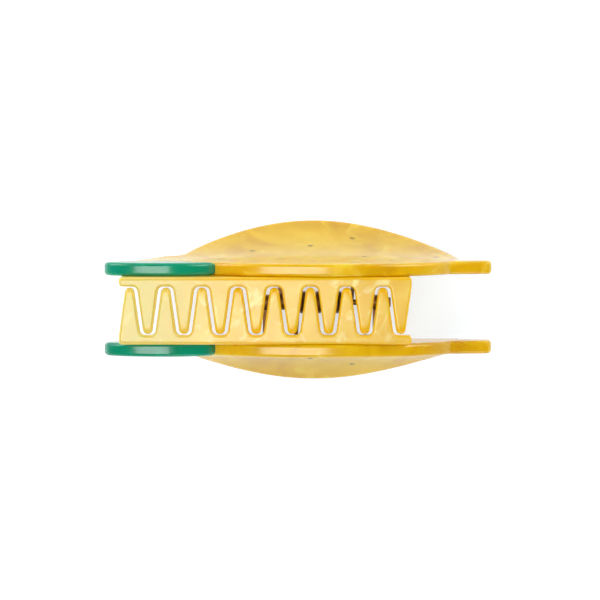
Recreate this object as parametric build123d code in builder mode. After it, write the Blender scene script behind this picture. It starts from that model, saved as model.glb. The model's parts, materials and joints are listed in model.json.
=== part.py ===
"""Hair claw clip in sheet acetate: a lemon with a green leaf, two combs and a sprung hinge.

The clip stands on its two handle edges with the teeth up.  X runs along the
clip, Y runs from the front half to the rear half, and Z is up.  The origin is
on the floor, midway between the halves and midway along the plates.
All sizes are in millimetres.
"""

import os
from math import asin, cos, radians, sin, sqrt

from build123d import *

os.makedirs("parts", exist_ok=True)

# ---- Driving dimensions ----

# Acetate sheet of the two plates
overall_length = 101.6
sheet_thickness = 3.5
outer_half_width = 12.25
upright_height = 18.7
handle_bend_radius = 35.0

# Lemon outline, seen from the front
lemon_height = 43.05
lemon_centre_x = 5.5
lemon_half_length = 37.6
lemon_tilt = 2.0
nub_tip_height = 29.5
nub_tip_width = 5.0
stem_tip_x = -43.4
end_round = 1.8
heel_round = 5.0
stem_root_round = 4.0

# Combs
comb_thickness = 2.4
flange_thickness = 1.8
flange_height = 11.0
tooth_count = 8
tooth_pitch = 9.36
first_tooth_x = -39.1
tooth_root_width = 5.6
tooth_tip_width = 2.2
tooth_tip_reach = 6.0
tip_gap = 0.3
comb_bend_radius = 1.0
tooth_tip_round = 1.0
valley_round = 1.4
tab_round = 0.9

# Hinge
hinge_height = 12.5
hinge_centre_x = 7.1
pin_diameter = 1.6
pin_clearance = 0.05
pin_head_diameter = 2.8
pin_head_length = 0.7
barrel_diameter = 4.2
knuckle_length = 4.0
knuckle_gap = 0.15
metal_thickness = 1.0
hinge_leaf_low = 7.4
hinge_leaf_high = 19.0
nail_diameter = 1.4
nail_head_diameter = 2.6
nail_head_length = 0.6
nail_depth = 2.2
nail_height = 16.6
nail_spread = 22.0

# Torsion spring
wire_diameter = 1.1
coil_diameter = 6.2
coil_turns = 12
coil_pitch = 1.2
coil_space = 17.2
leg_clearance = 0.15

# Engraved and filled pore marks
mark_width = 1.7
mark_height = 0.95
mark_stroke = 0.42
mark_depth = 0.4

# ---- Sizes that follow ----

handle_end_sine = (lemon_height - upright_height) / handle_bend_radius
body_height = lemon_height + sheet_thickness * handle_end_sine
lemon_centre_z = body_height - lemon_height / 2
lemon_rise = lemon_half_length * sin(radians(lemon_tilt))
lemon_half_height = sqrt((lemon_height / 2) ** 2 - lemon_rise**2) / cos(radians(lemon_tilt))
inner_half_width = outer_half_width - sheet_thickness
bend_height = body_height - upright_height
bend_centre_y = outer_half_width + handle_bend_radius
inner_bend_radius = handle_bend_radius + sheet_thickness
comb_bottom = body_height - comb_thickness
comb_right = first_tooth_x + (tooth_count - 1) * tooth_pitch + tooth_root_width / 2
comb_centre_x = first_tooth_x + (tooth_count - 1.5) * tooth_pitch / 2
comb_left = 2 * comb_centre_x - comb_right
valley_reach = tooth_tip_reach + tip_gap
coil_radius = (coil_diameter - wire_diameter) / 2
knuckle_pitch = knuckle_length + knuckle_gap
hinge_half_length = coil_space / 2 + 2 * knuckle_pitch
half_length = overall_length / 2

HALVES = {"rear": 1, "front": -1}


def save(piece, name):
    """Label a finished piece and write it to its own file."""
    piece.label = name
    export_step(piece, f"parts/{name}.step")


def face_y(radius, height):
    """Distance from the middle plane to a bent face of the given radius at a height."""
    drop = max(0.0, bend_height - height)
    return bend_centre_y - sqrt(radius**2 - drop**2)


def bent_strip(side, outer_radius, inner_radius, low, high):
    """Section of a sheet that hangs upright and then bends outwards.

    The radii are those of its outer and inner face about the bend's centre line.
    """
    outer_low = face_y(outer_radius, low)
    inner_low = face_y(inner_radius, low)
    outer_high = face_y(outer_radius, high)
    inner_high = face_y(inner_radius, high)
    arc_top = min(high, bend_height)
    middle = (low + arc_top) / 2
    with BuildSketch() as strip:
        with BuildLine():
            ThreePointArc(
                (side * outer_low, low),
                (side * face_y(outer_radius, middle), middle),
                (side * outer_high, arc_top),
            )
            if high > bend_height:
                Line((side * outer_high, arc_top), (side * outer_high, high))
            Line((side * outer_high, high), (side * inner_high, high))
            if high > bend_height:
                Line((side * inner_high, high), (side * inner_high, arc_top))
            ThreePointArc(
                (side * inner_high, arc_top),
                (side * face_y(inner_radius, middle), middle),
                (side * inner_low, low),
            )
            Line((side * inner_low, low), (side * outer_low, low))
        make_face()
    return strip.sketch


def is_outer_bend(face):
    """True for a face on the outside of the bent handle."""
    return abs(face.radius - handle_bend_radius) < 0.001


def lemon_outline():
    """Outline of the lemon, with its nub on the right and its stem end on the left."""
    heel = (-36.4, 19.2)
    nub_low = nub_tip_height - nub_tip_width / 2
    nub_high = nub_tip_height + nub_tip_width / 2
    with BuildSketch() as outline:
        with Locations((lemon_centre_x, lemon_centre_z)):
            Ellipse(lemon_half_length, lemon_half_height, rotation=lemon_tilt)
        with BuildLine():
            Polyline(
                (34.0, 25.2),
                (half_length, nub_low),
                (half_length, nub_high),
                (34.0, 33.9),
                close=True,
            )
        make_face()
        with BuildLine():
            Polyline(
                (-26.0, 18.4),
                heel,
                (stem_tip_x, 26.0),
                (stem_tip_x, 29.8),
                (-26.0, 32.0),
                close=True,
            )
        make_face()
        fillet(vertices().group_by(Axis.X)[-1], radius=end_round)
        fillet(vertices().group_by(Axis.X)[0], radius=end_round)
        fillet(vertices().sort_by_distance(heel)[0], radius=heel_round)
        fillet(vertices().sort_by_distance((-31.0, 18.8))[0], radius=stem_root_round)
    return outline.sketch


def leaf_outline():
    """Outline of the leaf, with its tip on the left and its root under the lemon."""
    root = (-20.8, 37.4)
    crest = (-35.5, 41.9)
    tip_high = (-50.0, 38.0)
    tip_low = (-half_length, 36.6)
    heel = (-38.0, 27.6)
    with BuildSketch() as outline:
        with BuildLine():
            ThreePointArc(root, (-28.6, 41.0), crest)
            ThreePointArc(crest, (-43.4, 40.9), tip_high)
            Line(tip_high, tip_low)
            ThreePointArc(tip_low, (-46.6, 31.0), heel)
            Line(heel, root)
        make_face()
        add(lemon_outline(), mode=Mode.SUBTRACT)
    return outline.sketch


def pore_mark(direction):
    """One small crescent, open upwards for 1 and downwards for -1."""
    end = mark_width / 2
    with BuildSketch() as crescent:
        with BuildLine():
            ThreePointArc((-end, 0), (0, -direction * mark_height), (end, 0))
            ThreePointArc((-end, 0), (0, -direction * (mark_height - mark_stroke)), (end, 0))
        make_face()
    return crescent.sketch


# Pore marks of one half: place along the clip, height, turn and direction
MARKS = (
    (-12.4, 15.0, 8, -1),
    (3.0, 11.9, -6, -1),
    (14.6, 8.3, 12, -1),
    (36.4, 21.3, -14, -1),
    (17.5, 20.0, 4, -1),
    (-21.0, 24.0, 16, -1),
    (-4.5, 24.5, -10, 1),
    (24.5, 30.0, -8, 1),
    (4.0, 31.0, 10, -1),
    (-11.0, 32.5, -4, 1),
    (14.5, 37.5, 6, 1),
    (33.5, 34.5, 14, -1),
)


# ---- The two halves: plates, leaves, pore marks, combs and hinge leaves ----

for half, side in HALVES.items():
    with BuildPart() as marks:
        for mark_x, mark_z, turn, opening in MARKS:
            mark_plane = Plane(
                origin=(mark_x, 0, mark_z),
                x_dir=(cos(radians(turn)), 0, sin(radians(turn))),
                z_dir=(0, side, 0),
            )
            with BuildSketch(mark_plane):
                add(pore_mark(opening * -side))
            extrude(amount=2 * outer_half_width)
        with BuildSketch(Plane.YZ.offset(-half_length)):
            add(bent_strip(side, handle_bend_radius, handle_bend_radius + mark_depth, 0, body_height))
        extrude(amount=overall_length, mode=Mode.INTERSECT)
    save(marks.part, f"{half}_pore_marks")

    # Nails stand square to the bent wall, with their heads on the hinge leaf
    nail_angle = asin((bend_height - nail_height) / inner_bend_radius)
    with BuildPart() as nails:
        for nail_x in (-nail_spread / 2, nail_spread / 2):
            nail_plane = Plane(
                origin=(hinge_centre_x + nail_x, side * face_y(inner_bend_radius, nail_height), nail_height),
                x_dir=(1, 0, 0),
                z_dir=(0, side * cos(nail_angle), sin(nail_angle)),
            )
            with BuildSketch(nail_plane.offset(-metal_thickness)):
                Circle(nail_diameter / 2)
            extrude(amount=metal_thickness + nail_depth)
            with BuildSketch(nail_plane.offset(-metal_thickness - nail_head_length)):
                Circle(nail_head_diameter / 2)
            extrude(amount=nail_head_length)
    save(nails.part, f"{half}_hinge_nails")

    # Only the outer faces of the blank are kept, and thickened inwards, so that the
    # edge stands square to the sheet all the way round the bend
    with BuildPart() as blank:
        with BuildSketch(Plane.XZ):
            add(lemon_outline())
        extrude(amount=-side * 2 * outer_half_width)
        with BuildSketch(Plane.YZ.offset(-half_length)):
            add(bent_strip(side, handle_bend_radius, inner_bend_radius, 0, body_height))
        extrude(amount=overall_length, mode=Mode.INTERSECT)
    upright_faces = blank.faces().filter_by(Plane.XZ).group_by(Axis.Y)[-1 if side > 0 else 0]
    bent_faces = blank.faces().filter_by(GeomType.CYLINDER).filter_by(is_outer_bend)

    with BuildPart() as plate:
        thicken(upright_faces, amount=-sheet_thickness)
        thicken(bent_faces, amount=-sheet_thickness)
        add(marks.part, mode=Mode.SUBTRACT)
        add(nails.part, mode=Mode.SUBTRACT)
    save(plate.part, f"{half}_plate")

    with BuildPart() as leaf:
        with BuildSketch(Plane.XZ):
            add(leaf_outline())
        extrude(amount=-side * handle_bend_radius)
        with BuildSketch(Plane.YZ.offset(-half_length)):
            add(bent_strip(side, handle_bend_radius, inner_bend_radius, 0, body_height))
        extrude(amount=overall_length, mode=Mode.INTERSECT)
    save(leaf.part, f"{half}_leaf")

    # Hinge leaf: a bent base on the wall, with two rolled knuckles reaching to the pin
    knuckle_row = knuckle_pitch if half == "front" else 0.0
    knuckle_start = coil_space / 2 + knuckle_gap + knuckle_row
    with BuildPart() as hinge_leaf:
        with BuildSketch(Plane.YZ.offset(hinge_centre_x - hinge_half_length)):
            base_face = inner_bend_radius + metal_thickness
            add(bent_strip(side, inner_bend_radius, base_face, hinge_leaf_low, hinge_leaf_high))
        extrude(amount=2 * hinge_half_length)
        web_reach = face_y(inner_bend_radius + metal_thickness / 2, hinge_height)
        for knuckle_x in (-knuckle_start - knuckle_length, knuckle_start):
            with BuildSketch(Plane.YZ.offset(hinge_centre_x + knuckle_x)):
                with Locations((0, hinge_height)):
                    Circle(barrel_diameter / 2)
                web_height = hinge_height - barrel_diameter / 2 + metal_thickness / 2
                with Locations((side * web_reach / 2, web_height)):
                    Rectangle(web_reach, metal_thickness)
                with Locations((0, hinge_height)):
                    Circle(pin_diameter / 2 + pin_clearance, mode=Mode.SUBTRACT)
            extrude(amount=knuckle_length)
        add(nails.part, mode=Mode.SUBTRACT)
    save(hinge_leaf.part, f"{half}_hinge_leaf")


# ---- Combs: the rear comb is drawn in place, and the front one is it turned half round ----

with BuildPart() as rear_comb:
    with BuildSketch(Plane.XY.offset(comb_bottom)):
        comb_points = [(comb_right, inner_half_width), (comb_left, inner_half_width)]
        comb_points.append((comb_left, valley_reach))
        for tooth in range(tooth_count):
            tooth_x = first_tooth_x + tooth * tooth_pitch
            comb_points.append((tooth_x - tooth_root_width / 2, valley_reach))
            comb_points.append((tooth_x - tooth_tip_width / 2, -tooth_tip_reach))
            comb_points.append((tooth_x + tooth_tip_width / 2, -tooth_tip_reach))
            if tooth < tooth_count - 1:
                comb_points.append((tooth_x + tooth_root_width / 2, valley_reach))
        with BuildLine():
            Polyline(*comb_points, close=True)
        make_face()
        corners = vertices().group_by(Axis.Y)
        valleys = corners[1].sort_by(Axis.X)
        fillet(corners[0], radius=tooth_tip_round)
        fillet(valleys[1:], radius=valley_round)
        fillet(valleys[0], radius=tab_round)
    extrude(amount=comb_thickness)
    with BuildSketch(Plane.YZ.offset(comb_left)):
        with Locations((inner_half_width, body_height)):
            Rectangle(flange_thickness, flange_height, align=(Align.MAX, Align.MAX))
    extrude(amount=comb_right - comb_left)
    long_edges = edges().filter_by(Axis.X).filter_by(lambda edge: edge.length > tooth_pitch)
    outer_bend = long_edges.group_by(Axis.Z)[-1].sort_by(Axis.Y)[-1]
    fillet(outer_bend, radius=comb_bend_radius)
save(rear_comb.part, "rear_comb")

with BuildPart() as front_comb:
    with Locations((2 * comb_centre_x, 0, 0)):
        add(rear_comb.part, rotation=(0, 0, 180))
save(front_comb.part, "front_comb")


# ---- Hinge pin, with an upset head at each end ----

with BuildPart() as hinge_pin:
    shank_half = hinge_half_length + knuckle_gap
    with BuildSketch(Plane.YZ.offset(hinge_centre_x - shank_half)):
        with Locations((0, hinge_height)):
            Circle(pin_diameter / 2)
    extrude(amount=2 * shank_half)
    for head_x in (-shank_half - pin_head_length, shank_half):
        with BuildSketch(Plane.YZ.offset(hinge_centre_x + head_x)):
            with Locations((0, hinge_height)):
                Circle(pin_head_diameter / 2)
        extrude(amount=pin_head_length)
save(hinge_pin.part, "hinge_pin")


# ---- Torsion spring, wound round the pin, with a leg pressing on each hinge leaf ----

coil_length = coil_turns * coil_pitch
leg_height = hinge_height - coil_radius
leg_reach = face_y(inner_bend_radius + metal_thickness, leg_height) - wire_diameter / 2

with BuildPart() as coil:
    with BuildLine():
        helix = Helix(coil_pitch, coil_length, coil_radius, direction=(1, 0, 0))
    with BuildSketch(Plane(origin=helix @ 0, z_dir=helix % 0)):
        Circle(wire_diameter / 2)
    sweep(path=helix, is_frenet=True)
    extrude(faces().filter_by(GeomType.PLANE), amount=leg_reach - leg_clearance)

with BuildPart() as torsion_spring:
    with Locations((hinge_centre_x - coil_length / 2, 0, hinge_height)):
        add(coil.part, rotation=(180, 0, 0))
save(torsion_spring.part, "torsion_spring")
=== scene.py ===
"""A lemon claw clip in polished acetate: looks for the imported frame.  Sizes are in metres."""

import json
from math import asin, atan2, cos, degrees, pi, radians, sin

import bmesh
import bpy
from mathutils import Matrix, Vector


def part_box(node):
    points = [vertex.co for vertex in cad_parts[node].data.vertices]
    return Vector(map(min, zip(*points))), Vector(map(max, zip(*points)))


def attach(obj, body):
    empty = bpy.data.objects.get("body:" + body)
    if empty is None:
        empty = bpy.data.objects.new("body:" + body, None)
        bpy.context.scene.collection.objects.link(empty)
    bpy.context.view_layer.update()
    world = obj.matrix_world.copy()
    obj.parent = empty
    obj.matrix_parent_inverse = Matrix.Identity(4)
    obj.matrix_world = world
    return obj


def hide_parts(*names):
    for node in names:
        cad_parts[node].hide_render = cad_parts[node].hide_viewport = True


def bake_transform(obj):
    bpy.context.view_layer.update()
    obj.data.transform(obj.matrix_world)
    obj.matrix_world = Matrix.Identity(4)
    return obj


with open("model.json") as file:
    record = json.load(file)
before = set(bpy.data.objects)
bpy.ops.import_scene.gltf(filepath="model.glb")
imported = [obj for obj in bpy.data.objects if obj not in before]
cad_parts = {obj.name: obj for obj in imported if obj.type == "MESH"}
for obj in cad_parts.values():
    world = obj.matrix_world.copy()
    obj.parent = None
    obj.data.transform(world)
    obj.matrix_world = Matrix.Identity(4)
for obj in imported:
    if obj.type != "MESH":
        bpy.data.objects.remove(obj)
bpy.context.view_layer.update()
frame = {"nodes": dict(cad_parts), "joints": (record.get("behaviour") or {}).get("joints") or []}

MM = 0.001
HALVES = {"rear": 1, "front": -1}

# ---- Sizes read from the frame ----

PLATE_LOW, PLATE_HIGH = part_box("rear_plate")
COMB_LOW, COMB_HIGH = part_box("rear_comb")
TOP = PLATE_HIGH[2]
NUB_END = PLATE_HIGH[0]
INNER_FACE = PLATE_LOW[1]

# ---- Sizes of the sheet and its bend ----

SHEET = 3.5 * MM
OUTER_FACE = INNER_FACE + SHEET
UPRIGHT = 18.7 * MM
BEND_RADIUS = 35 * MM
BEND_TOP = TOP - UPRIGHT
BEND_CENTRE = OUTER_FACE + BEND_RADIUS
BEND_STEP = 0.9 * MM
RIM_ROUND = 0.95 * MM

# ---- Outline of the lemon and its leaf, seen from the front ----

LEMON_HEIGHT = 43.05 * MM
LEMON_HALF_LENGTH = 37.6 * MM
LEMON_CENTRE = Vector((5.5 * MM, TOP - LEMON_HEIGHT / 2))
LEMON_HALF_HEIGHT = LEMON_HEIGHT / 2
LEMON_TILT = radians(2)
RIM_STEP = 1.5
NUB_LOW = Vector((NUB_END, 27.0 * MM))
NUB_HIGH = Vector((NUB_END, 32.0 * MM))
NUB_ROUND = 1.6 * MM
NUB_MEETS_RIM = (Vector((43.01, 26.17)) * MM, Vector((40.07, 33.21)) * MM)
STEM_HIGH = Vector((-43.4, 29.8)) * MM
STEM_HIGH_ROUND = 1.6 * MM
STEM_LOW = Vector((-43.4, 26.0)) * MM
STEM_LOW_ROUND = 0.76 * MM
HEEL = Vector((-36.4, 19.2)) * MM
HEEL_ROUND = 1.8 * MM
STEM_ROOT = (Vector((-33.7, 18.99)) * MM, Vector((-31.82, 18.35)) * MM)
STEM_MEETS_RIM = (Vector((-29.05, 31.61)) * MM, Vector((-30.48, 16.89)) * MM)
LEAF_MEETS_RIM = Vector((-21.84, 38.08)) * MM

# ---- Comb ----

COMB_THICKNESS = 2.4 * MM
FLANGE_THICKNESS = 1.8 * MM
TOOTH_COUNT = 8
TOOTH_PITCH = 9.36 * MM
FIRST_TOOTH = -39.1 * MM
TOOTH_ROOT = 5.6 * MM
TOOTH_TIP = 2.2 * MM
TIP_REACH = 6.0 * MM
VALLEY_REACH = 6.3 * MM
TIP_CORNER = 1.04 * MM
VALLEY_CORNER = 1.2 * MM
TAB_CORNER = 0.95 * MM
COMB_BEND = 1.0 * MM
COMB_ROUND = 0.75 * MM
COMB_UNDER_ROUND = 0.2 * MM
TAPER_START = 2.4 * MM
TAPER_LENGTH = TIP_REACH - TAPER_START
TAPER_DROP = 0.45 * MM
TAPER_CUTS = 6

# ---- Hinge and spring ----

LEAF_ROUND = 0.12 * MM
NAIL_ROUND = 0.25 * MM
HINGE = Vector(frame["joints"][0]["pos_m"])
WIRE = 1.1 * MM
COIL_RADIUS = 2.55 * MM
COIL_TURNS = 12
COIL_PITCH = 1.2 * MM
LEG_LENGTH = 10.7 * MM
WIRE_SIDES = 14
STEPS_PER_TURN = 28

# ---- Pore marks of one half: place along the clip, height, turn and direction ----

PORE_MARKS = (
    (-12.4, 15.0, 8, -1),
    (3.0, 11.9, -6, -1),
    (14.6, 8.3, 12, -1),
    (36.4, 21.3, -14, -1),
    (17.5, 20.0, 4, -1),
    (-21.0, 24.0, 16, -1),
    (-4.5, 24.5, -10, 1),
    (24.5, 30.0, -8, 1),
    (4.0, 31.0, 10, -1),
    (-11.0, 32.5, -4, 1),
    (14.5, 37.5, 6, 1),
    (33.5, 34.5, 14, -1),
)
MARK_WIDTH = 1.7 * MM
MARK_HEIGHT = 0.95 * MM
MARK_STROKE = 0.42 * MM
MARK_PROUD = 0.02 * MM
MARK_DEPTH = 0.3 * MM


# ---- Painted light in the comb: a painted glow and painted deeper gold down its cut edge, a painted green reflection towards the leaf, and painted shade at the tooth tips ----

# Painted light down the comb's cut edge: deeper gold and a faint glow, starting just below the top face.
EDGE_TOP = 0.015 * MM
EDGE_DEPTH = 0.17 * MM
PAINTED_EDGE_GLOW = 0.2
# Painted green reflection of the leaf, growing towards the comb's leaf end.
LEAF_REFLECTION_START = -40 * MM
LEAF_REFLECTION_END = -14 * MM
LEAF_REFLECTION_MOST = 0.75
# Painted shade towards the tooth tips, which miss the overhead reflection.
TIP_SHADE_START = 1.3 * MM
TIP_SHADE_END = 5.8 * MM
TIP_SHADE_MOST = 0.95


# ---- Mesh helpers ----

LARGE_FLAT_FACE = 150 * MM * MM
NEAR = 0.01 * MM
SAME_POINT = 0.001 * MM


def face_outwards(bm):
    """Turn every face of one closed shape outwards."""
    bmesh.ops.recalc_face_normals(bm, faces=bm.faces)
    if bm.calc_volume(signed=True) < 0:
        bmesh.ops.reverse_faces(bm, faces=bm.faces)


def finish_piece(bm, name, body, stands_for, material):
    """Turn a bmesh into a smooth-shaded piece that rides on a body."""
    mesh = bpy.data.meshes.new(name)
    bm.to_mesh(mesh)
    bm.free()
    for face in mesh.polygons:
        face.use_smooth = face.area < LARGE_FLAT_FACE
    piece = bpy.data.objects.new(name, mesh)
    bpy.context.scene.collection.objects.link(piece)
    mesh.materials.append(material)
    flat_faces = piece.modifiers.new("flat faces stay flat", "WEIGHTED_NORMAL")
    flat_faces.weight = 90
    if body:
        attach(piece, body)
    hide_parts(*stands_for)
    return piece


def made_verts(result):
    """The vertices that an extrusion made."""
    return [item for item in result["geom"] if isinstance(item, bmesh.types.BMVert)]


def rim_edges(bm, steepest=radians(50)):
    """Edges where two faces meet at a sharp angle."""
    return [edge for edge in bm.edges if edge.is_manifold and edge.calc_face_angle() > steepest]


def rim_edges_of_cut(bm):
    """The edges between the faces of a flat sheet and its cut edge."""
    return [edge for edge in rim_edges(bm) if abs(edge.verts[0].co.y - edge.verts[1].co.y) < NEAR]


def round_edges(bm, edges, width, segments=4):
    """Round some edges over."""
    bmesh.ops.bevel(
        bm,
        geom=edges,
        offset=width,
        offset_type="OFFSET",
        segments=segments,
        profile=0.5,
        affect="EDGES",
        clamp_overlap=False,
        material=-1,
    )


def round_corners(bm, corners, width, segments=6):
    """Round some corners of a flat outline."""
    bmesh.ops.bevel(
        bm,
        geom=corners,
        offset=width,
        offset_type="OFFSET",
        segments=segments,
        profile=0.5,
        affect="VERTICES",
        clamp_overlap=False,
        material=-1,
    )


def unrolled(height):
    """Height of a point on the flat sheet that lands at this height once the sheet is bent."""
    drop = BEND_TOP - height
    if drop <= 0:
        return height
    return BEND_TOP - BEND_RADIUS * asin(min(1, drop / BEND_RADIUS))


def bend_sheet(bm, side):
    """Bend a flat sheet outwards below the upright wall.  Y is depth below the outer face."""
    lowest = min(vert.co.z for vert in bm.verts)
    height = BEND_TOP
    while height > lowest:
        geometry = bm.verts[:] + bm.edges[:] + bm.faces[:]
        bmesh.ops.bisect_plane(bm, geom=geometry, plane_co=(0, 0, height), plane_no=(0, 0, 1))
        height -= BEND_STEP
    for vert in bm.verts:
        depth = vert.co.y
        turn = max(0, BEND_TOP - vert.co.z) / BEND_RADIUS
        if turn > 0:
            radius = BEND_RADIUS + depth
            vert.co.y = side * (BEND_CENTRE - radius * cos(turn))
            vert.co.z = BEND_TOP - radius * sin(turn)
        else:
            vert.co.y = side * (OUTER_FACE - depth)
    if side > 0:
        bmesh.ops.reverse_faces(bm, faces=bm.faces)


def flat_blank(outline, near, far):
    """A flat piece of sheet cut to an outline, from one depth to another.

    The outline is a list of points, each with the width its corner is rounded over.
    """
    bm = bmesh.new()
    corners = [bm.verts.new((point.x, near, unrolled(point.y))) for point, width in outline]
    bm.faces.new(corners)
    for corner, (point, width) in zip(corners, outline):
        if width:
            round_corners(bm, [corner], width)
    extruded = bmesh.ops.extrude_face_region(bm, geom=bm.faces[:])
    bmesh.ops.translate(bm, verts=made_verts(extruded), vec=(0, far - near, 0))
    face_outwards(bm)
    return bm


# ---- Outlines ----


def rim_point(angle):
    """Point on the lemon's oval, by its angle in degrees from the nub."""
    turn = radians(angle)
    flat = Vector((LEMON_HALF_LENGTH * cos(turn), LEMON_HALF_HEIGHT * sin(turn)))
    return LEMON_CENTRE + Matrix.Rotation(LEMON_TILT, 2) @ flat


def rim_angle(point):
    """Angle in degrees at which a point lies on the lemon's oval."""
    flat = Matrix.Rotation(-LEMON_TILT, 2) @ (point - LEMON_CENTRE)
    return degrees(atan2(flat.y / LEMON_HALF_HEIGHT, flat.x / LEMON_HALF_LENGTH)) % 360


def rim_arc(start, end):
    """Points along the oval from one point on it to another, both included."""
    first = rim_angle(start)
    last = rim_angle(end)
    if abs(last - first) > 180:
        last += 360
    steps = max(1, round(abs(last - first) / RIM_STEP))
    return [(rim_point(first + (last - first) * step / steps), 0) for step in range(steps + 1)]


def gentle_arc(start, middle, end, steps=12):
    """Points along a gentle arc through three points, without the last."""
    points = []
    for step in range(steps):
        along = step / steps
        rise = middle - start.lerp(end, 0.5)
        points.append((start.lerp(end, along) + rise * 4 * along * (1 - along), 0))
    return points


def lemon_outline():
    """Outline of the lemon, from the nub's lower corner over the top to the stem and back."""
    outline = [(NUB_LOW, NUB_ROUND), (NUB_HIGH, NUB_ROUND)]
    outline += rim_arc(NUB_MEETS_RIM[1], STEM_MEETS_RIM[0])
    outline += [(STEM_HIGH, STEM_HIGH_ROUND), (STEM_LOW, STEM_LOW_ROUND), (HEEL, HEEL_ROUND)]
    outline += gentle_arc(*STEM_ROOT, STEM_MEETS_RIM[1], 6)
    outline += rim_arc(STEM_MEETS_RIM[1], NUB_MEETS_RIM[0])
    return outline


def leaf_outline():
    """Outline of the leaf, which shares its root with the lemon's outline."""
    crest = Vector((-35.5, 41.9)) * MM
    tip_high = Vector((-50.0, 38.0)) * MM
    tip_low = Vector((-50.8, 36.6)) * MM
    heel = Vector((-43.26, 28.91)) * MM
    stem_side = Vector((-41.83, 30.0)) * MM
    outline = gentle_arc(LEAF_MEETS_RIM, Vector((-28.75, 41.05)) * MM, crest)
    outline.pop(1)
    outline += gentle_arc(crest, Vector((-43.4, 40.9)) * MM, tip_high)
    outline += [(tip_high, 0)]
    outline += [(tip_low, 0)]
    outline += gentle_arc(tip_low, Vector((-47.5, 32.3)) * MM, heel)[1:]
    outline += gentle_arc(heel, Vector((-42.8, 29.65)) * MM, stem_side, 5)
    outline += rim_arc(STEM_MEETS_RIM[0], LEAF_MEETS_RIM)[:-2]
    return outline


# ---- Materials ----


def new_material(name, **sockets):
    """A material with one Principled shader and these constant socket values."""
    material = bpy.data.materials.new(name)
    material.use_nodes = True
    shader = material.node_tree.nodes["Principled BSDF"]
    for socket, value in sockets.items():
        shader.inputs[socket.replace("_", " ")].default_value = value
    return material, material.node_tree, shader


def add_node(tree, kind, inputs=None, **settings):
    """Add a shader node, with its settings, and values or links for its inputs."""
    node = tree.nodes.new(kind)
    for setting, value in settings.items():
        setattr(node, setting, value)
    for socket, value in (inputs or {}).items():
        if isinstance(value, bpy.types.NodeSocket):
            tree.links.new(value, node.inputs[socket])
        else:
            node.inputs[socket].default_value = value
    return node


def color_ramp(tree, factor, stops, interpolation="LINEAR"):
    """A colour ramp with these (position, colour) stops."""
    ramp = add_node(tree, "ShaderNodeValToRGB", {"Fac": factor})
    ramp.color_ramp.interpolation = interpolation
    elements = ramp.color_ramp.elements
    while len(elements) < len(stops):
        elements.new(0.5)
    for element, (position, color) in zip(elements, stops):
        element.position = position
        element.color = (*color, 1)
    return ramp.outputs["Color"]


def object_place(tree, scale=(1, 1, 1)):
    """The piece's own coordinates, scaled."""
    place = add_node(tree, "ShaderNodeTexCoord")
    mapping = add_node(tree, "ShaderNodeMapping", {"Vector": place.outputs["Object"], "Scale": scale})
    return mapping.outputs["Vector"]


def mix_colors(tree, factor, first, second):
    """Mix two colours by a factor."""
    mix = add_node(tree, "ShaderNodeMix", data_type="RGBA")
    for socket, value in ((0, factor), (6, first), (7, second)):
        if isinstance(value, bpy.types.NodeSocket):
            tree.links.new(value, mix.inputs[socket])
        elif socket == 0:
            mix.inputs[socket].default_value = value
        else:
            mix.inputs[socket].default_value = (*value, 1)
    return mix.outputs[2]


def acetate(name, body_colors, fleck_color, fleck_amount):
    """Polished pearl acetate: clouds and soft flecks in the sheet."""
    material, tree, shader = new_material(
        name,
        Roughness=0.2,
        IOR=1.48,
        Subsurface_Weight=0.8,
        Subsurface_Radius=(1.0, 0.6, 0.1),
        Subsurface_Scale=2.4 * MM,
        Coat_Weight=0.4,
        Coat_Roughness=0.14,
    )
    place = object_place(tree)
    clouds = add_node(
        tree, "ShaderNodeTexNoise", {"Vector": place, "Scale": 70, "Detail": 3, "Distortion": 1.2}
    )
    body = color_ramp(tree, clouds.outputs["Fac"], body_colors)
    flecks = add_node(
        tree, "ShaderNodeTexNoise", {"Vector": place, "Scale": 150, "Detail": 3, "Distortion": 0.7}
    )
    fleck_mask = add_node(
        tree,
        "ShaderNodeMapRange",
        {"Value": flecks.outputs["Fac"], "From Min": 0.56, "From Max": 0.68, "To Max": fleck_amount},
        interpolation_type="SMOOTHSTEP",
    )
    colored = mix_colors(tree, fleck_mask.outputs["Result"], body, fleck_color)
    tree.links.new(colored, shader.inputs["Base Color"])
    return material


def fade(tree, distance, start, end, most=1.0):
    """A soft step from nothing at the start to the most at the end."""
    step = add_node(
        tree,
        "ShaderNodeMapRange",
        {"Value": distance, "From Min": start, "From Max": end, "To Max": most},
        interpolation_type="SMOOTHSTEP",
    )
    return step.outputs["Result"]


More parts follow.
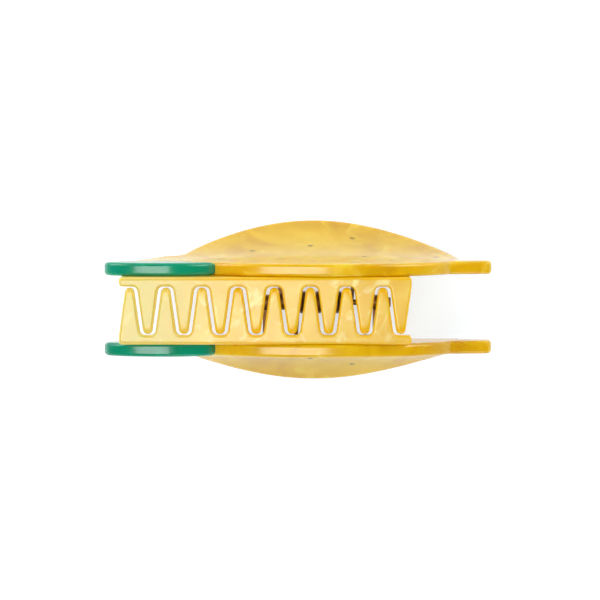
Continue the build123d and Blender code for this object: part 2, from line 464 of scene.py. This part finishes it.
def comb_acetate(half, side):
    """Pale pearl for one comb, with painted light on it: painted shade in gold at the tooth tips, a
    painted gold glow and deeper gold down the cut edge, and a painted green reflection towards the leaf.
    """
    material = acetate(
        f"pale pearl acetate of the {half} comb",
        # These paler pearl colours are partly the comb's own and partly painted light: light from the
        # white table shining through the thin comb.
        [(0.3, (0.80, 0.52, 0.045)), (0.55, (0.84, 0.58, 0.08)), (0.75, (0.91, 0.68, 0.13))],
        (0.98, 0.87, 0.40),
        0.6,
    )
    tree = material.node_tree
    shader = tree.nodes["Principled BSDF"]
    spot = add_node(tree, "ShaderNodeSeparateXYZ", {"Vector": object_place(tree)})
    colored = shader.inputs["Base Color"].links[0].from_socket
    # Painted shade: the base colour turns deeper gold towards the tooth tips.
    painted_tip_shade = fade(tree, spot.outputs["Y"], -side * TIP_SHADE_START, -side * TIP_SHADE_END, TIP_SHADE_MOST)
    colored = mix_colors(tree, painted_tip_shade, colored, TIP_PAINTED_SHADE_GOLD)
    # Painted light: the cut edge turns deeper gold and gives off a gold glow, standing in for light
    # carried through the sheet.
    painted_edge_light = fade(tree, spot.outputs["Z"], TOP - EDGE_TOP, TOP - EDGE_TOP - EDGE_DEPTH)
    colored = mix_colors(tree, painted_edge_light, colored, EDGE_PAINTED_LIGHT_GOLD)
    painted_glow_color = mix_colors(tree, painted_edge_light, (0, 0, 0), EDGE_PAINTED_LIGHT_GOLD)
    tree.links.new(painted_glow_color, shader.inputs["Emission Color"])
    shader.inputs["Emission Strength"].default_value = PAINTED_EDGE_GLOW
    # Painted reflection: the comb turns greener towards the leaf, as if lit by light off it.
    painted_leaf_reflection = fade(tree, spot.outputs["X"], LEAF_REFLECTION_END, LEAF_REFLECTION_START, LEAF_REFLECTION_MOST)
    colored = mix_colors(tree, painted_leaf_reflection, colored, LEAF_REFLECTION_GREEN)
    tree.links.new(colored, shader.inputs["Base Color"])
    return material


def metal(name, color, roughness):
    """Drawn or stamped steel, with fine brush lines along the clip."""
    material, tree, shader = new_material(name, Metallic=1.0)
    lines = add_node(
        tree,
        "ShaderNodeTexNoise",
        {"Vector": object_place(tree, (300, 4000, 4000)), "Scale": 1, "Detail": 3},
    )
    tone = mix_colors(tree, lines.outputs["Fac"], [0.7 * part for part in color], color)
    tree.links.new(tone, shader.inputs["Base Color"])
    rough = add_node(
        tree,
        "ShaderNodeMapRange",
        {"Value": lines.outputs["Fac"], "To Min": roughness - 0.08, "To Max": roughness + 0.1},
    )
    tree.links.new(rough.outputs["Result"], shader.inputs["Roughness"])
    return material


def filler(name, dark, light):
    """Matt filler with a fine speckle."""
    material, tree, shader = new_material(name, Roughness=0.5)
    speckle = add_node(tree, "ShaderNodeTexNoise", {"Vector": object_place(tree), "Scale": 3000})
    tree.links.new(mix_colors(tree, speckle.outputs["Fac"], dark, light), shader.inputs["Base Color"])
    return material


YELLOW = acetate(
    "yellow pearl acetate",
    [(0.3, (0.68, 0.38, 0.0)), (0.5, (0.77, 0.48, 0.0)), (0.7, (0.84, 0.56, 0.01))],
    (0.92, 0.70, 0.06),
    0.45,
)
GREEN = acetate(
    "leaf green acetate",
    [(0.3, (0.0, 0.28, 0.15)), (0.7, (0.0, 0.34, 0.20))],
    (0.0, 0.42, 0.28),
    0.3,
)
# Gold of the painted shade at the tooth tips.
TIP_PAINTED_SHADE_GOLD = (0.80, 0.53, 0.0)
# Gold of the painted light down the comb's cut edge.
EDGE_PAINTED_LIGHT_GOLD = (0.70, 0.42, 0.0)
# Green of the painted reflection of the leaf.
LEAF_REFLECTION_GREEN = (0.66, 0.60, 0.17)
MARK_FILLER = filler("brown filler", (0.03, 0.010, 0.003), (0.07, 0.025, 0.006))
HINGE_METAL = metal("bronzed hinge steel", (0.42, 0.29, 0.17), 0.34)
SPRING_METAL = metal("dark spring wire", (0.30, 0.20, 0.12), 0.3)


# ---- Plates, leaves and pore marks ----


def make_plate(half, side):
    """One lemon, cut from sheet, rounded at its rim and bent out as a handle."""
    bm = flat_blank(lemon_outline(), 0, SHEET)
    round_edges(bm, rim_edges_of_cut(bm), RIM_ROUND)
    bend_sheet(bm, side)
    return finish_piece(bm, f"{half}_lemon", f"{half}_half", [f"{half}_plate"], YELLOW)


def make_leaf(half, side):
    """One leaf, from green sheet of the same thickness."""
    bm = flat_blank(leaf_outline(), 0, SHEET)
    round_edges(bm, rim_edges_of_cut(bm), RIM_ROUND)
    bend_sheet(bm, side)
    return finish_piece(bm, f"{half}_green_leaf", f"{half}_half", [f"{half}_leaf"], GREEN)


def make_marks(half, side):
    """The filled crescents on the outer face of one lemon."""
    marks = bmesh.new()
    steps = 10
    for along, height, turn, opening in PORE_MARKS:
        outer = []
        inner = []
        for step in range(steps + 1):
            across = 2 * step / steps - 1
            sag = 1 - across * across
            outer.append(Vector((across * MARK_WIDTH / 2, -opening * MARK_HEIGHT * sag)))
            inner.append(Vector((across * MARK_WIDTH / 2, -opening * (MARK_HEIGHT - MARK_STROKE) * sag)))
        crescent = outer + inner[-2:0:-1]
        spin = Matrix.Rotation(radians(turn), 2)
        place = Vector((along, height)) * MM
        bm = flat_blank([(place + spin @ point, 0) for point in crescent], -MARK_PROUD, MARK_DEPTH)
        mesh = bpy.data.meshes.new("crescent")
        bm.to_mesh(mesh)
        bm.free()
        marks.from_mesh(mesh)
        bpy.data.meshes.remove(mesh)
    bend_sheet(marks, side)
    return finish_piece(
        marks, f"{half}_pores", f"{half}_half", [f"{half}_pore_marks"], MARK_FILLER
    )


# ---- Combs ----


def comb_corners():
    """Outline of the rear comb from above, with the list of corner kinds."""
    tab = COMB_LOW[0]
    last = COMB_HIGH[0]
    corners = [((last, INNER_FACE), None), ((tab, INNER_FACE), None), ((tab, VALLEY_REACH), "tab")]
    for tooth in range(TOOTH_COUNT):
        middle = FIRST_TOOTH + tooth * TOOTH_PITCH
        corners.append(((middle - TOOTH_ROOT / 2, VALLEY_REACH), "valley"))
        corners.append(((middle - TOOTH_TIP / 2, -TIP_REACH), "tip"))
        corners.append(((middle + TOOTH_TIP / 2, -TIP_REACH), "tip"))
        corners.append(((middle + TOOTH_ROOT / 2, VALLEY_REACH), "valley"))
    corners[-1] = (corners[-1][0], None)
    return corners


def on_comb_shell(face):
    """True for the faces on the outside of the comb: its top, its bend and the flange's back."""
    on_flange_back = face.normal.y > 0.95 and face.calc_center_median().y > INNER_FACE - NEAR
    return face.normal.z > 0.05 or on_flange_back


def on_outer_corner(edge):
    """True for the edge along which the comb's top meets the back of its flange."""
    return all(abs(vert.co.y - INNER_FACE) < NEAR and abs(vert.co.z - TOP) < NEAR for vert in edge.verts)


def taper_tips(bm):
    """Slope the top of the teeth down towards their tips, where they were polished thinner."""
    for cut in range(TAPER_CUTS):
        depth = TAPER_START + TAPER_LENGTH * cut / TAPER_CUTS
        geometry = bm.verts[:] + bm.edges[:] + bm.faces[:]
        bmesh.ops.bisect_plane(bm, geom=geometry, plane_co=(0, -depth, 0), plane_no=(0, 1, 0))
    for vert in bm.verts:
        along = (-vert.co.y - TAPER_START) / TAPER_LENGTH
        if along > 0:
            share_of_thickness = 1 - (TOP - vert.co.z) / COMB_THICKNESS
            vert.co.z -= TAPER_DROP * along**2 * share_of_thickness


def make_comb(half, side):
    """One comb: a flat row of teeth with a flange bent down behind it."""
    bm = bmesh.new()
    kinds = {"tip": [], "valley": [], "tab": []}
    outline = []
    for (x, y), kind in comb_corners():
        vert = bm.verts.new((x, y, TOP))
        outline.append(vert)
        if kind:
            kinds[kind].append(vert)
    bm.faces.new(outline)
    round_corners(bm, kinds["tip"], TIP_CORNER)
    round_corners(bm, kinds["valley"], VALLEY_CORNER)
    round_corners(bm, kinds["tab"], TAB_CORNER)
    extruded = bmesh.ops.extrude_face_region(bm, geom=bm.faces[:])
    bmesh.ops.translate(bm, verts=made_verts(extruded), vec=(0, 0, -COMB_THICKNESS))
    flange_line = INNER_FACE - FLANGE_THICKNESS
    under = TOP - COMB_THICKNESS
    underside = [face for face in bm.faces if abs(face.calc_center_median().z - under) < NEAR]
    rim = [edge for face in underside for edge in face.edges]
    bmesh.ops.bisect_plane(
        bm,
        geom=underside + rim + [vert for face in underside for vert in face.verts],
        plane_co=(0, flange_line, 0),
        plane_no=(0, 1, 0),
    )
    strip = [
        face
        for face in bm.faces
        if abs(face.calc_center_median().z - under) < NEAR
        and face.calc_center_median().y > flange_line
    ]
    flange = bmesh.ops.extrude_face_region(bm, geom=strip)
    bmesh.ops.delete(bm, geom=strip, context="FACES")
    bmesh.ops.translate(bm, verts=made_verts(flange), vec=(0, 0, COMB_LOW[2] - under))
    face_outwards(bm)
    round_edges(bm, [edge for edge in bm.edges if on_outer_corner(edge)], COMB_BEND, 5)
    bm.normal_update()
    shell = {face for face in bm.faces if on_comb_shell(face)}
    round_edges(bm, [edge for edge in rim_edges(bm) if shell & set(edge.link_faces)], COMB_ROUND, 5)
    round_edges(bm, rim_edges(bm), COMB_UNDER_ROUND, 3)
    taper_tips(bm)
    face_outwards(bm)
    if side < 0:
        middle = FIRST_TOOTH + (TOOTH_COUNT - 1.5) * TOOTH_PITCH / 2
        bmesh.ops.rotate(bm, verts=bm.verts, cent=(middle, 0, 0), matrix=Matrix.Rotation(pi, 3, "Z"))
    pearl = comb_acetate(half, side)
    return finish_piece(bm, f"{half}_teeth", f"{half}_half", [f"{half}_comb"], pearl)


# ---- Hinge leaves, nails and pin ----


def make_metal_part(name, node, body, width):
    """A packed metal part, copied and given softened edges."""
    bm = bmesh.new()
    bm.from_mesh(frame["nodes"][node].data)
    bmesh.ops.transform(bm, matrix=frame["nodes"][node].matrix_world, verts=bm.verts)
    bmesh.ops.remove_doubles(bm, verts=bm.verts, dist=SAME_POINT)
    bmesh.ops.join_triangles(
        bm,
        faces=bm.faces,
        angle_face_threshold=radians(0.5),
        angle_shape_threshold=radians(180),
    )
    round_edges(bm, rim_edges(bm), width, 3)
    face_outwards(bm)
    return finish_piece(bm, name, body, [node], HINGE_METAL)


# ---- Spring ----


def loop_in_order(verts):
    """The vertices of one ring, in order round it."""
    ordered = [verts[0]]
    members = set(verts)
    while len(ordered) < len(verts):
        for edge in ordered[-1].link_edges:
            other = edge.other_vert(ordered[-1])
            if other in members and other not in ordered:
                ordered.append(other)
                break
    return ordered


def draw_leg(bm, loop, run):
    """Draw the wire straight on from a ring of its edges, and close its end."""
    end = made_verts(bmesh.ops.extrude_edge_only(bm, edges=loop))
    bmesh.ops.translate(bm, verts=end, vec=run * LEG_LENGTH)
    bm.faces.new(loop_in_order(end))


def make_spring():
    """The torsion spring: one wire wound round the pin, with a straight leg at each end."""
    bm = bmesh.new()
    coil_length = COIL_TURNS * COIL_PITCH
    coil_start = HINGE.x - coil_length / 2
    lean = COIL_PITCH / (2 * pi * COIL_RADIUS)
    run = Vector((lean, 1, 0)).normalized()
    turned = run.to_track_quat("Z", "X").to_matrix().to_4x4()
    place = Matrix.Translation((coil_start, 0, HINGE.z - COIL_RADIUS)) @ turned
    bmesh.ops.create_circle(bm, cap_ends=False, segments=WIRE_SIDES, radius=WIRE / 2, matrix=place)
    start_loop = bm.edges[:]
    draw_leg(bm, start_loop, -run)
    steps = COIL_TURNS * STEPS_PER_TURN
    wound = bmesh.ops.spin(
        bm,
        geom=start_loop,
        cent=(coil_start, 0, HINGE.z),
        axis=(1, 0, 0),
        dvec=(coil_length / steps, 0, 0),
        angle=2 * pi * COIL_TURNS,
        steps=steps,
    )
    end_loop = [item for item in wound["geom_last"] if isinstance(item, bmesh.types.BMEdge)]
    draw_leg(bm, end_loop, run)
    bmesh.ops.remove_doubles(bm, verts=bm.verts, dist=SAME_POINT)
    face_outwards(bm)
    spring = finish_piece(bm, "spring_wire", None, ["torsion_spring"], SPRING_METAL)
    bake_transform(spring)


for half, side in HALVES.items():
    make_plate(half, side)
    make_leaf(half, side)
    make_marks(half, side)
    make_comb(half, side)
    make_metal_part(f"{half}_hinge_plate", f"{half}_hinge_leaf", f"{half}_half", LEAF_ROUND)
    make_metal_part(f"{half}_nails", f"{half}_hinge_nails", f"{half}_half", NAIL_ROUND)
make_metal_part("headed_pin", "hinge_pin", "front_half", NAIL_ROUND)
make_spring()


# ---- Floor, light and camera ----

FLOOR_SIZE = 6.0
floor_bm = bmesh.new()
bmesh.ops.create_grid(floor_bm, x_segments=1, y_segments=1, size=FLOOR_SIZE / 2)
floor_mesh = bpy.data.meshes.new("floor")
floor_bm.to_mesh(floor_mesh)
floor_bm.free()
floor = bpy.data.objects.new("floor", floor_mesh)
bpy.context.scene.collection.objects.link(floor)
floor_white = new_material(
    "lit white table",
    Roughness=0.9,
    Base_Color=(0.56, 0.56, 0.56, 1),
    Specular_IOR_Level=0,
    Emission_Color=(0.86, 0.94, 1.0, 1),
    Emission_Strength=0.66,
)[0]
floor_mesh.materials.append(floor_white)

world = bpy.data.worlds.new("soft white room")
bpy.context.scene.world = world
world.use_nodes = True
sky_tree = world.node_tree
sky = sky_tree.nodes["Background"]
sky.inputs["Color"].default_value = (1, 1, 1, 1)
sky_direction = add_node(sky_tree, "ShaderNodeTexCoord")
sky_height = add_node(sky_tree, "ShaderNodeSeparateXYZ", {"Vector": sky_direction.outputs["Generated"]})
sky_fade = add_node(
    sky_tree,
    "ShaderNodeMapRange",
    {"Value": sky_height.outputs["Z"], "From Min": 0.1, "From Max": 0.6, "To Min": 0.62, "To Max": 0.08},
    interpolation_type="SMOOTHSTEP",
)
sky_tree.links.new(sky_fade.outputs["Result"], sky.inputs["Strength"])


CLIP_MIDDLE = Vector((0, 0, 30 * MM))


def softbox(name, place, width, depth, radiance, aimed=True):
    """A soft light of this brightness that points at the clip, or straight down if it isn't aimed."""
    light = bpy.data.lights.new(name, "AREA")
    light.shape = "RECTANGLE"
    light.size = width
    light.size_y = depth
    light.energy = radiance * pi * width * depth
    lamp = bpy.data.objects.new(name, light)
    lamp.location = place
    if aimed:
        lamp.rotation_euler = (CLIP_MIDDLE - Vector(place)).to_track_quat("-Z", "Y").to_euler()
    bpy.context.scene.collection.objects.link(lamp)


softbox("overhead softbox", (-0.265, -0.04, 0.92), 0.57, 0.6, 5, aimed=False)
softbox("side softbox", (0.75, 0.55, 0.6), 0.6, 0.6, 4)
softbox("back softbox", (-0.8, 0.6, 0.45), 0.6, 0.4, 4)
softbox("front softbox", (0.2, -0.9, 0.55), 0.6, 0.4, 2.2)

CAMERA_DISTANCE = 0.7
CAMERA_TILT = radians(4)
VIEW_WIDTH = 155 * MM
AIM = Vector((0.3 * MM, 2.9 * MM, TOP))
camera_data = bpy.data.cameras.new("camera")
camera_data.lens = camera_data.sensor_width * CAMERA_DISTANCE / VIEW_WIDTH
camera = bpy.data.objects.new("camera", camera_data)
camera.location = AIM + CAMERA_DISTANCE * Vector((0, sin(CAMERA_TILT), cos(CAMERA_TILT)))
camera.rotation_euler = (-CAMERA_TILT, 0, 0)
bpy.context.scene.collection.objects.link(camera)
bpy.context.scene.camera = camera

bpy.context.scene.view_settings.view_transform = "Standard"
